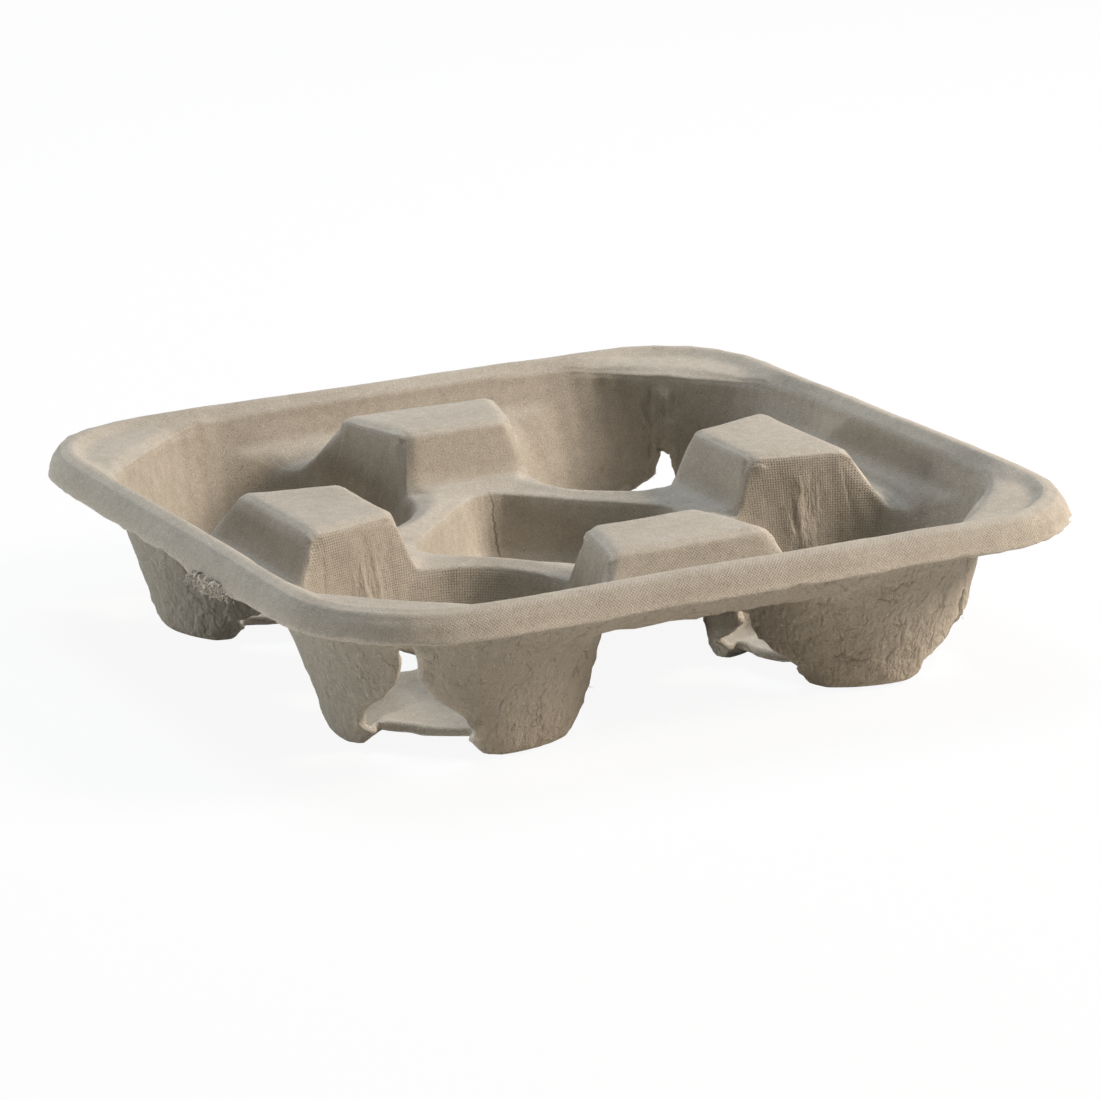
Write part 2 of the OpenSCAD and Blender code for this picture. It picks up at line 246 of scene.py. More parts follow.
@dataclass(frozen=True)
class Grain:
    """One layer of a material's noise: its lumps' size in mm, finer layers, stretch and useful span."""

    size: float
    detail: float = 2.0
    roughness: float = 0.5
    draw: Triple | None = None
    span: Span | None = None


@dataclass(frozen=True)
class Value:
    """One number of a node tree, with arithmetic that adds Math nodes."""

    graph: Graph
    socket: NodeSocket

    def math(self, operation: str, *others: Value | float) -> Value:
        """Adds a Math node.

        Args:
            operation: The Math node's operation.
            others: What follows this number in the node's sockets.

        Returns:
            The node's result.
        """
        sockets: dict[str, Any] = {"Value": self}
        for name, other in zip(("Value_001", "Value_002"), others):
            sockets[name] = other
        return self.graph.value("ShaderNodeMath", {"operation": operation}, sockets)

    def __add__(self, other: Value | float) -> Value:
        """Adds."""
        return self.math("ADD", other)

    __radd__ = __add__

    def __sub__(self, other: Value | float) -> Value:
        """Takes away."""
        return self.math("SUBTRACT", other)

    def __rsub__(self, other: float) -> Value:
        """Takes this from a number."""
        return self.math("MULTIPLY_ADD", -1.0, other)

    def __mul__(self, other: Value | float) -> Value:
        """Multiplies."""
        return self.math("MULTIPLY", other)

    __rmul__ = __mul__

    def larger(self, other: Value | float) -> Value:
        """Gives the larger of two numbers."""
        return self.math("MAXIMUM", other)

    def smooth(self, low: float, high: float) -> Value:
        """Rises smoothly from 0 at low to 1 at high.

        Args:
            low: Where it is 0.
            high: Where it is 1.

        Returns:
            The step's height.
        """
        settings = {"interpolation_type": "SMOOTHSTEP"}
        sockets = {"Value": self, "From Min": low, "From Max": high}
        return self.graph.value("ShaderNodeMapRange", settings, sockets, "Result")


class Graph:
    """Node tree of one material or of the world."""

    def __init__(self, owner: Material | World) -> None:
        """Gives a material or a world an empty node tree and keeps it."""
        owner.use_nodes = True
        self.tree = owner.node_tree
        self.tree.nodes.clear()

    def node(
        self, kind: str, settings: dict[str, Any] | None = None, sockets: dict[str, Any] | None = None
    ) -> Node:
        """Adds a node.

        Args:
            kind: Blender's name for the node's type.
            settings: Its settings, set first.
            sockets: Values or links of its inputs, by identifier or name.

        Returns:
            The new node.
        """
        made = self.tree.nodes.new(kind)
        for name, setting in (settings or {}).items():
            setattr(made, name, setting)
        for name, given in (sockets or {}).items():
            entry = self.find(made.inputs, name)
            source = given.socket if isinstance(given, Value) else given
            if isinstance(source, NodeSocket):
                self.tree.links.new(source, entry)
            else:
                entry.default_value = source
        return made

    @staticmethod
    def find(sockets: Any, name: str) -> NodeSocket:
        """Finds a socket by its identifier, or else by its name."""
        return next((s for s in sockets if s.identifier == name), None) or sockets[name]

    def value(
        self, kind: str, settings: dict[str, Any], sockets: dict[str, Any], output: str = "Value"
    ) -> Value:
        """Adds a node and gives one of its outputs, by identifier or name, as a number."""
        return Value(self, self.find(self.node(kind, settings, sockets).outputs, output))

    def attribute(self, name: str, output: str = "Fac") -> Value:
        """Reads one of the mesh's own attributes."""
        return self.value("ShaderNodeAttribute", {"attribute_name": name}, {}, output)

    def axes(self, place: Value) -> list[Value]:
        """Splits a place into its three numbers."""
        parts = self.node("ShaderNodeSeparateXYZ", {}, {"Vector": place}).outputs
        return [Value(self, parts[axis]) for axis in ("X", "Y", "Z")]

    def scaled(self, place: Any, factors: Triple, turn: Triple = (0, 0, 0)) -> Value:
        """Turns a place about the axes, then scales it.

        Args:
            place: The place, as a socket or a value.
            factors: Scale along each axis.
            turn: Turn about each axis in degrees.

        Returns:
            The new place.
        """
        sockets = {"Vector": place, "Rotation": tuple(math.radians(a) for a in turn)}
        turned = self.node("ShaderNodeMapping", {"vector_type": "POINT"}, sockets)
        sockets = {"Vector": turned.outputs["Vector"], "Vector_001": factors}
        return self.value("ShaderNodeVectorMath", {"operation": "MULTIPLY"}, sockets, "Vector")

    def grain(self, place: Value, layer: Grain, turn: Triple = (0, 0, 0)) -> Value:
        """Reads one layer of noise between 0 and 1.

        Args:
            place: Where to read it, in mm.
            layer: The layer.
            turn: Turn of its stretch about each axis in degrees.

        Returns:
            The noise.
        """
        drawn = self.scaled(place, layer.draw, turn) if layer.draw else place
        sockets = {"Vector": drawn, "Scale": 1 / layer.size}
        sockets |= {"Detail": layer.detail, "Roughness": layer.roughness}
        read = self.value("ShaderNodeTexNoise", {}, sockets, "Fac")
        return read.smooth(*layer.span) if layer.span else read

    def tint(self, share: Value, below: Any, above: Any) -> NodeSocket:
        """Mixes two colours.

        Args:
            share: Share of the second.
            below: First colour, a value or a socket.
            above: Second colour, a value or a socket.

        Returns:
            The mixed colour.
        """
        sockets = {"Factor_Float": share, "A_Color": below, "B_Color": above}
        made = self.node("ShaderNodeMix", {"data_type": "RGBA", "clamp_factor": True}, sockets)
        return self.find(made.outputs, "Result_Color")

    def blend(self, share: Value, below: Any, above: Any) -> NodeSocket:
        """Mixes two shaders, with a share of the second."""
        sockets = {"Fac": share, "Shader": below, "Shader_001": above}
        return self.node("ShaderNodeMixShader", {}, sockets).outputs["Shader"]

    def seen(self) -> Value:
        """Gives 1 for what is looked at, straight, mirrored or through glass, and 0 for other light."""
        rays = self.node("ShaderNodeLightPath").outputs
        straight, mirrored, through = (
            Value(self, rays[f"Is {way} Ray"]) for way in ("Camera", "Glossy", "Transmission")
        )
        return straight.larger(mirrored).larger(through)


@dataclass(frozen=True)
class PulpFinish:
    """Moulded paper pulp, in mm: grain, fibres, flecks, mesh marks, creases and torn edges, and painted
    shade in its cracks, folds, mesh pits and pocket corner.
    """

    name: str = "moulded_pulp"
    pale: Colour = linear(204, 197, 184)
    deep: Colour = linear(150, 140, 125)
    grey: Colour = linear(172, 165, 152)
    # Dark flecks' own colour, also laid into the mesh pits as painted shade.
    fleck_and_pit_shade: Colour = linear(108, 94, 78)
    fibre: Colour = linear(228, 220, 206)
    # Painted shade: the dark colour laid into crack lines, fold valleys and the pocket's back corner.
    crease_shade: Colour = linear(96, 82, 66)
    roughness: float = 0.94
    shine: float = 0.22
    bump_strength: float = 0.65
    bump_height: float = 0.55
    fine: Grain = Grain(0.42, 3.0, 0.7, span=(0.22, 0.78))
    clumps: Grain = Grain(2.6, 3.0, 0.6, span=(0.2, 0.8))
    clouds: Grain = Grain(22.0)
    folds: Grain = Grain(1.9, 2.0, 0.55, draw=(1, 1, 0.28))
    fold_span: Span = (0.55, 0.72)
    wrinkles: Grain = Grain(4.6, 2.0, 0.6, draw=(1, 1, 0.6))
    wrinkle_span: Span = (0.0, 0.14)
    bark_span: Span = (0.1, 0.8)
    mark_pitch: float = 0.64
    mark_span: Span = (0.0, 1.5)
    hair: Grain = Grain(1.7, 1.0, draw=(1, 5.0, 5.0))
    hair_turns: tuple[Triple, ...] = ((20, 35, 15), (70, -25, 100), (-40, 60, 55))
    dark_spans: tuple[Span, Span] = ((0.68, 0.76), (0.69, 0.77))
    pale_spans: tuple[Span, Span] = ((0.66, 0.74), (0.68, 0.76))
    bend_scale: float = 0.28
    bend_detail: float = 3.0
    bend_reach: float = 5.0
    crack_draw: Triple = (1, 1, 0.42)
    crack_size: float = 6.0
    crack_span: Span = (0.006, 0.035)
    crack_patches: Grain = Grain(6.0, span=(0.5, 0.62))
    # Painted shade line down the pocket's back corner: its place, width, sway and reach in y and z.
    corner_shade_place: float = 2.0
    corner_shade_width: Span = (0.12, 0.4)
    corner_shade_reach: float = 3.0
    corner_shade_sway: Grain = Grain(3.0, 3.0, 0.6, draw=(0, 0, 1))
    corner_shade_y: tuple[Span, Span] = ((30.0, 33.0), (42.0, 44.0))
    corner_shade_z: tuple[Span, Span] = ((9.0, 13.0), (26.0, 30.0))

    def build(self) -> Material:
        """Makes the material.

        Returns:
            The pulp material.
        """
        material = bpy.data.materials.new(self.name)
        graph = Graph(material)
        place = graph.scaled(graph.node("ShaderNodeTexCoord").outputs["Object"], (1 / MM,) * 3)
        under, bark, frayed, crumpled, marked = (
            graph.attribute(name) for name in ("under", "bark", "frayed", "crumpled", "marked")
        )
        marks = self.marks(graph) * marked
        layers = (self.fine, self.clumps, self.clouds, self.folds, self.wrinkles)
        fine, clumps, clouds, folds, wrinkles = (graph.grain(place, layer) for layer in layers)
        wrinkles = (wrinkles - 0.5).math("ABSOLUTE").smooth(*self.wrinkle_span)
        cracks = self.cracks(graph, place) * bark.smooth(*self.bark_span)
        dark_hairs, pale_hairs = self.hairs(graph, place)

        colour = graph.tint(fine * 0.44 + clumps * 0.24 + clouds * 0.5 - 0.06, self.deep, self.pale)
        tints = (
            (under * (0.35 + clouds * 0.5), self.grey),
            (dark_hairs * 0.6, self.fleck_and_pit_shade),
            (pale_hairs * 0.55, self.fibre),
            # Painted shade in the forming mesh's pits, over their real dent.
            (marks * 0.45, self.fleck_and_pit_shade),
            (frayed * fine * 0.8, self.fibre),
            # Painted shade in the crack lines of the lower skin, over their real dent.
            (cracks * 0.35, self.crease_shade),
            # Painted shade: a dark line down the pocket's back corner, kept off the lower skin.
            (self.corner_shade(graph, place) * (1 - under) * 0.6, self.crease_shade),
            # Painted shade in the valleys of the crumpled bands' folds.
            (crumpled * (1 - folds).smooth(*self.fold_span) * 0.3, self.crease_shade),
        )
        for share, over in tints:
            colour = graph.tint(share, colour, over)

        height = fine * 0.2 + clumps * (0.12 + bark * 1.8) + pale_hairs * 0.15 - marks * 0.5 - cracks * 0.9
        height = height + wrinkles * bark * 1.5 + folds * crumpled * 3.0
        sockets = {"Strength": self.bump_strength, "Distance": self.bump_height * MM, "Height": height}
        bump = graph.node("ShaderNodeBump", {}, sockets)
        sockets = {
            "Base Color": colour,
            "Roughness": self.roughness,
            "Specular IOR Level": self.shine,
            "Normal": bump.outputs["Normal"],
        }
        shader = graph.node("ShaderNodeBsdfPrincipled", {}, sockets)
        graph.node("ShaderNodeOutputMaterial", {}, {"Surface": shader.outputs["BSDF"]})
        return material

    def marks(self, graph: Graph) -> Value:
        """Reads the pits that the forming mesh left, 1 in the middle of each pit.

        Args:
            graph: The material's node tree.

        Returns:
            The pits' depth.
        """
        across, along, _ = graph.axes(graph.attribute("weave", "Vector"))
        turn = 2 * math.pi / self.mark_pitch
        return ((across * turn).math("SINE") + (along * turn).math("SINE")).smooth(*self.mark_span)

    def cracks(self, graph: Graph, place: Value) -> Value:
        """Reads broken crack lines, 1 along a line: they dent the bump and carry painted shade.

        Args:
            graph: The material's node tree.
            place: Place on the object in mm.

        Returns:
            The lines' strength.
        """
        sockets = {"Vector": place, "Scale": self.bend_scale, "Detail": self.bend_detail}
        bend = graph.node("ShaderNodeTexNoise", {}, sockets).outputs["Color"]
        sockets = {"Vector": bend, "Vector_001": (self.bend_reach,) * 3, "Vector_002": place}
        bent = graph.value("ShaderNodeVectorMath", {"operation": "MULTIPLY_ADD"}, sockets, "Vector")
        sockets = {"Vector": graph.scaled(bent, self.crack_draw), "Scale": 1 / self.crack_size}
        gaps = graph.value("ShaderNodeTexVoronoi", {"feature": "DISTANCE_TO_EDGE"}, sockets, "Distance")
        return (1 - gaps.smooth(*self.crack_span)) * graph.grain(place, self.crack_patches)

    def corner_shade(self, graph: Graph, place: Value) -> Value:
        """Reads the dark line of painted shade that runs down the back corner of the pocket, where two faces
        meet, 1 along it.

        Args:
            graph: The material's node tree.
            place: Place on the object in mm.

        Returns:
            The painted shade's strength.
        """
        x, y, z = graph.axes(place)
        wander = (graph.grain(place, self.corner_shade_sway) - 0.5) * self.corner_shade_reach
        line = 1 - (x - self.corner_shade_place - wander).math("ABSOLUTE").smooth(*self.corner_shade_width)
        for way, (start, end) in ((y, self.corner_shade_y), (z, self.corner_shade_z)):
            line = line * way.smooth(*start) * (1 - way.smooth(*end))
        return line

    def hairs(self, graph: Graph, place: Value) -> tuple[Value, Value]:
        """Reads fine hairs and flecks that lie every way in the pulp.

        Args:
            graph: The material's node tree.
            place: Place on the object in mm.

        Returns:
            The dark and the pale hairs' strength.
        """
        first, second, third = (graph.grain(place, self.hair, turn) for turn in self.hair_turns)
        dark = first.smooth(*self.dark_spans[0]).larger(second.smooth(*self.dark_spans[1]))
        pale = third.smooth(*self.pale_spans[0]).larger((1 - second).smooth(*self.pale_spans[1]))
        return dark, pale


@dataclass(frozen=True)
class FloorFinish:
    """White floor that shows the carrier's soft shadow."""

    name: str = "white_floor"
    colour: Colour = (0.86, 0.86, 0.86, 1.0)
    bounce: Colour = (0.85, 0.82, 0.77, 1.0)
    lit_share: float = 0.08

    def build(self) -> Material:
        """Makes the material.

        Returns:
            The floor material.
        """
        material = bpy.data.materials.new(self.name)
        graph = Graph(material)
        seen = graph.seen()
        matt = graph.node("ShaderNodeBsdfDiffuse", {}, {"Color": graph.tint(seen, self.bounce, self.colour)})
        white = graph.node("ShaderNodeEmission", {}, {"Color": WHITE, "Strength": 1.0})
        mixed = graph.blend(seen * (1 - self.lit_share), matt.outputs["BSDF"], white.outputs["Emission"])
        graph.node("ShaderNodeOutputMaterial", {}, {"Surface": mixed})
        return material


@dataclass(frozen=True)
class CarrierForm:
    """Sizes of the carrier in mm, and where a place lies on it."""

    width: float
    height: float
    well_half: float = 53.5
    well_reach: float = 27.35
    draft: float = 10.8
    lip_height: float = 6.8
    slot_top: float = 20.6
    face_turn: float = 45.0
    face_step: float = 120.0

    @property
    def half(self) -> float:
        """Half the carrier's width."""
        return self.width / 2

    @property
    def lip_low(self) -> float:
        """Height of the lip's lower edge."""
        return self.height - self.lip_height

    def from_well(self, points: Array) -> tuple[Array, Array]:
        """Gives places in plan from the middle of their well, outwards, and their angles in degrees."""
        off = np.abs(points[:, :2]) - self.well_half
        return off, np.degrees(np.arctan2(off[:, 1], off[:, 0]))

    def in_well(self, points: Array) -> tuple[Array, Array, Array]:
        """Finds where places lie in the nearest well.

        Args:
            points: Places in mm.

        Returns:
            Distance from the well's centre, angle from the nearest face's middle in degrees, and that
            face's number: 0 is the corner face, -1 and 1 are the islands' faces.
        """
        off, angle = self.from_well(points)
        turned = angle - self.face_turn
        face = np.round(turned / self.face_step)
        return np.hypot(off[:, 0], off[:, 1]), turned - face * self.face_step, face

    def round_well(self, points: Array) -> Array:
        """Gives how far places lie round their well from its inner lobe, in degrees."""
        inner = self.face_turn + 180
        return (self.from_well(points)[1] - inner + 180) % 360 - 180

    def beside_slot(self, points: Array) -> Array:
        """Gives how far places lie from the middle line of the nearest face, to the right of the view.

        Args:
            points: Places in mm.

        Returns:
            The distances in mm.
        """
        distance, angle, face = self.in_well(points)
        aside = distance * np.sin(np.radians(angle))
        towards = np.where(points[:, 0] * face > 0, -1.0, 1.0)
        return np.where(face == 0, aside, aside * towards)


@dataclass(frozen=True)
class CrumpledBands:
    """Crumpled bands that run up the wells' faces from the slots, in mm."""

    form: CarrierForm
    shift: float = 1.5
    wander: Lumps = Lumps(9.0, 1.5)
    face_gap: float = 40.0
    depth: float = 4.0
    width: float = 5.5
    below_slot: float = 4.0
    fade: Span = (39.0, 33.0)
    back_share: float = 1.8
    front_share: float = 1.0
    other_share: float = 0.5

    def find(self, points: Array) -> Array:
        """Finds the bands.

        Args:
            points: Places in mm.

        Returns:
            1 in the middle of a band, falling to 0 beside it.
        """
        distance, angle, face = self.form.in_well(points)
        x, y, z = points.T
        reach = self.form.well_reach + z * math.tan(math.radians(self.form.draft))
        on_face = bell(distance * np.cos(np.radians(angle)), reach, self.depth)
        wander = self.wander.read(np.column_stack([z, face * self.face_gap, np.zeros_like(z)]))
        aside = self.form.beside_slot(points) - self.shift - wander
        slot_top = self.form.slot_top
        tall = step(z, slot_top - self.below_slot, slot_top) * step(z, *self.fade)
        at_back = (face == 0) & (x > 0) & (y > 0)
        at_front = (face != 0) & (y < 0) & (y > -self.form.well_half)
        share = np.where(at_back, self.back_share, np.where(at_front, self.front_share, self.other_share))
        return np.clip(np.exp(-((aside / self.width) ** 4)) * on_face * tall * share, 0, 1)


@dataclass(frozen=True)
class MeshMarks:
    """Marks of the forming mesh, in mm: square in the wells, twill on the front lip and island."""

    form: CarrierForm
    steep: Span = (0.72, 0.5)
    square_base: float = 0.6
    square_patches: Lumps = Lumps(11.0, 0.7, 5.0)
    left_calm: float = 0.8
    left_span: Span = (0.5, 0.85)
    inwards: Span = (0.35, 0.65)
    square_rise: Span = (6.0, 10.0)
    square_reach: Span = (47.0, 42.0)
    corner_share: float = 0.25
    round_span: Span = (106.0, 88.0)
    round_radius: float = 34.0
    twill_base: float = 0.75
    twill_patches: Lumps = Lumps(17.0, 0.4, 9.0)
    lip_front: Span = (-101.0, -103.6)
    lip_left: Span = (-88.0, -66.0)
    lip_right: Span = (98.0, 80.0)
    face_back: Span = (-73.0, -77.0)
    face_front: Span = (-91.0, -88.0)
    face_width: float = 24.0
    face_slope: float = 22.0
    crumple_loss: float = 0.85

    def lay(self, points: Array, normals: Array, under: Array, crumpled: Array) -> tuple[Array, Array]:
        """Lays the marks over the faces that show them.

        Args:
            points: Places in mm.
            normals: Directions of the surface.
            under: 1 on the lower skin.
            crumpled: 1 in a crumpled band.

        Returns:
            The marks' strength, and the place in the mesh's own weave in mm.
        """
        x, y, z = points.T
        distance, _, face = self.form.in_well(points)
        off, _ = self.form.from_well(points)
        around = self.form.round_well(points)
        upper = 1 - under
        steep = step(np.abs(normals[:, 2]), *self.steep)

        inwards = -np.sum(normals[:, :2] * np.sign(points[:, :2]) * off, axis=1) / distance
        inside = step(inwards, *self.inwards) * steep * upper
        inside = inside * step(z, *self.square_rise) * step(distance, *self.square_reach)
        facing = np.where(face == 0, self.corner_share, 1.0) * step(np.abs(around), *self.round_span)
        patches = self.square_base + self.square_patches.read(points)
        patches = patches * (1 - self.left_calm * step(-normals[:, 0], *self.left_span))
        square = np.clip(inside * facing * patches, 0, 1)

        lip = step(y, *self.lip_front) * step(x, *self.lip_left) * step(x, *self.lip_right)
        front = step(y, *self.face_back) * step(y, *self.face_front) * bell(x, 0.0, self.face_width) * steep
        patches = self.twill_base + self.twill_patches.read(points)
        twill = np.clip(np.maximum(lip, front) * upper * patches, 0, 1)
        square = np.where(twill > square, 0, square)

        run = np.radians(around) * self.round_radius
        fall = z / math.cos(math.radians(self.form.draft))
        slope = math.radians(self.face_slope)
        rise = z * math.cos(slope) + y * math.sin(slope)
        weave = np.where((twill > 0)[:, None], Mark.TWILL.laid(x, rise), Mark.SQUARE.laid(run, fall))
        return np.maximum(square, twill) * (1 - self.crumple_loss * crumpled), weave


@dataclass(frozen=True)
class WornLip:
    """Torn stretch, pits and nicks of the lip's lower edge, in mm."""

    form: CarrierForm
    band: Span = (6.0, 3.0)
    low: Span = (41.5, 39.5)
    torn_start: Span = (-49.0, -42.0)
    torn_end: Span = (-10.0, -17.0)
    torn_drop: float = 2.6
    torn_base: float = 0.55
    torn_lumps: Lumps = Lumps(3.1, 0.6, 21.0)
    pit_places: tuple[float, ...] = (15.1, 0.3)
    pit_width: float = 1.3
    pit_depth: float = 1.6
    nick_places: tuple[float, ...] = (-17.8, 12.9, 58.0)
    nick_width: float = 1.6
    nick_depth: float = 0.9

    def drop(self, points: Array) -> Array:
        """Gives how far the lip's lower edge hangs down or is nicked.

        Args:
            points: Places in mm.

        Returns:
            How far each place drops, below zero where it is nicked.
        """
        x, y, z = points.T
        edge = [inset - self.form.half for inset in self.band]
        left_lip, front_lip = (step(way, *edge) * step(z, *self.low) for way in (x, y))
        torn = step(y, *self.torn_start) * step(y, *self.torn_end)
        drop = left_lip * torn * self.torn_drop * (self.torn_base + self.torn_lumps.read(points))
        for place in self.pit_places:
            drop -= left_lip * bell(y, place, self.pit_width) * self.pit_depth
        for place in self.nick_places:
            drop -= front_lip * bell(x, place, self.nick_width) * self.nick_depth
        return drop


@dataclass(frozen=True)
class FormChanges:
    """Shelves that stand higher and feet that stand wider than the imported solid's, in mm."""

    form: CarrierForm
    shelf_inner: Span = (81.2, 84.0)
    shelf_outer: Span = (91.8, 88.2)
    shelf_end: Span = (30.0, 25.0)
    foot_swell: float = 1.3
    foot_floor: Span = (-0.5, 1.5)
    foot_top: Span = (9.0, 2.0)
    foot_inner: Span = (12.0, 22.0)
    foot_outer: Span = (44.0, 38.0)

    def feet(self, points: Array) -> Array:
        """Gives how far the feet spread from the middle of their well in plan.

        Args:
            points: Places in mm.

        Returns:
            The spread of each place along X and Y.
        """
        off = points[:, :2] - np.sign(points[:, :2]) * self.form.well_half
        distance = np.hypot(off[:, 0], off[:, 1])
        z = points[:, 2]
        share = step(z, *self.foot_floor) * step(z, *self.foot_top)
        share = share * step(distance, *self.foot_inner) * step(distance, *self.foot_outer)
        return off / np.maximum(distance, 1)[:, None] * (self.foot_swell * share)[:, None]

    def shelves(self, points: Array) -> Array:
        """Gives how far the shelves between the islands and the sides stand up.

        Args:
            points: Places in mm.

        Returns:
            How far each place rises.
        """
        x, y, _ = points.T
        risen = np.zeros(len(points))
        for side in Side:
            across, along, rise = side.value
            out = x * across + y * along
            aside = np.abs(x * along + y * across)
            floor = step(out, *self.shelf_inner) * step(out, *self.shelf_outer)
            risen += rise * floor * step(aside, *self.shelf_end)
        return risen


@dataclass(frozen=True)
class PulpLumps:
    """Waviness, lumps, creases and ragged edges of the pulp, in mm."""

    form: CarrierForm
    long_sway: Lumps = Lumps(38.0, 0.45, 3.0)
    short_sway: Lumps = Lumps(11.0, 0.12, 8.0)
    sway_rise: Span = (0.0, 6.0)
    lump_rise: Span = (0.2, 3.0)
    low: Span = (42.0, 26.0)
    large: Lumps = Lumps(6.5, seed=1.0)
    large_height: float = 0.10
    large_bark: float = 0.25
    small: Lumps = Lumps(3.0, seed=2.0)
    small_height: float = 0.05
    small_bark: float = 0.36
    small_least: float = 0.3
    plate_bend: Lumps = Lumps(4.0, 2.2, 33.0)
    plates: Lumps = Lumps(5.5, seed=17.0)
    plate_level: float = 0.75
    plate_height: float = 0.36
    fold_gaps: Span = (50.0, 90.0)
    fold_creases: Lumps = Lumps((3.4, 9.0, 1.0), seed=6.0)
    fold_height: float = 0.9
    fold_level: float = 0.35
    puckers: Lumps = Lumps(2.6, seed=7.0)
    pucker_height: float = 0.55
    groove_place: float = 5.4
    groove_sway: Lumps = Lumps((30.0, 6.0, 1.0), 0.8)
    groove_width: float = 0.6
    groove_span: Span = (0.05, 0.4)
    groove_depth: float = 0.7
    short_rags: Lumps = Lumps(2.4, 0.75, 12.0)
    long_rags: Lumps = Lumps(6.0, 0.5, 15.0)
    rag_rise: Span = (2.0, 6.0)
    lip_band: Span = (6.0, 4.0)
    lip_calm: float = 0.55

    def moves(self, points: Array, normals: Array, bark: Array, frayed: Array, crumpled: Array) -> Array:
        """Works out how far the pulp's unevenness moves every point.

        Args:
            points: Places in mm.
            normals: Directions of the surface.
            bark: How rough the lower skin is, 0 on the upper.
            frayed: 1 on a free edge.
            crumpled: 1 in a crumpled band.

        Returns:
            The moves in mm.
        """
        z = points[:, 2]
        sway = self.long_sway.vectors(points) + self.short_sway.vectors(points)
        low = step(z, *self.low)
        lumps = self.large.read(points) * (self.large_height + self.large_bark * bark)
        rough = self.small_bark * bark * (self.small_least + low)
        lumps += self.small.read(points) * (self.small_height + rough)
        plates = self.plates.plates(points + self.plate_bend.vectors(points)) - self.plate_level
        lumps += plates * self.plate_height * bark * low + self.folds(points, crumpled)
        ragged = self.short_rags.vectors(points) + self.long_rags.vectors(points)
        reach = np.max(np.abs(points[:, :2]), axis=1)
        calm = 1 - self.lip_calm * step(reach, *(self.form.half - inset for inset in self.lip_band))
        lifted = normals * (lumps * step(z, *self.lump_rise))[:, None]
        moved = sway * step(z, *self.sway_rise)[:, None] + lifted
        return moved + ragged * (frayed * calm * step(z, *self.rag_rise))[:, None]

    def folds(self, points: Array, crumpled: Array) -> Array:
        """Gives the height of the creases in the crumpled bands, and of the groove beside them.

        Args:
            points: Places in mm.
            crumpled: 1 in a crumpled band.

        Returns:
            The height along the normals.
        """
        aside = self.form.beside_slot(points)
        apart = np.sum(np.sign(points[:, :2]) * self.fold_gaps, axis=1)
        places = np.column_stack([aside, points[:, 2], apart])
        height = crumpled * (self.fold_creases.creases(places) * self.fold_height - self.fold_level)
        height += crumpled * self.puckers.read(points) * self.pucker_height
        groove = bell(aside, self.groove_place + self.groove_sway.read(places), self.groove_width)
        return height - groove * step(crumpled, *self.groove_span) * self.groove_depth


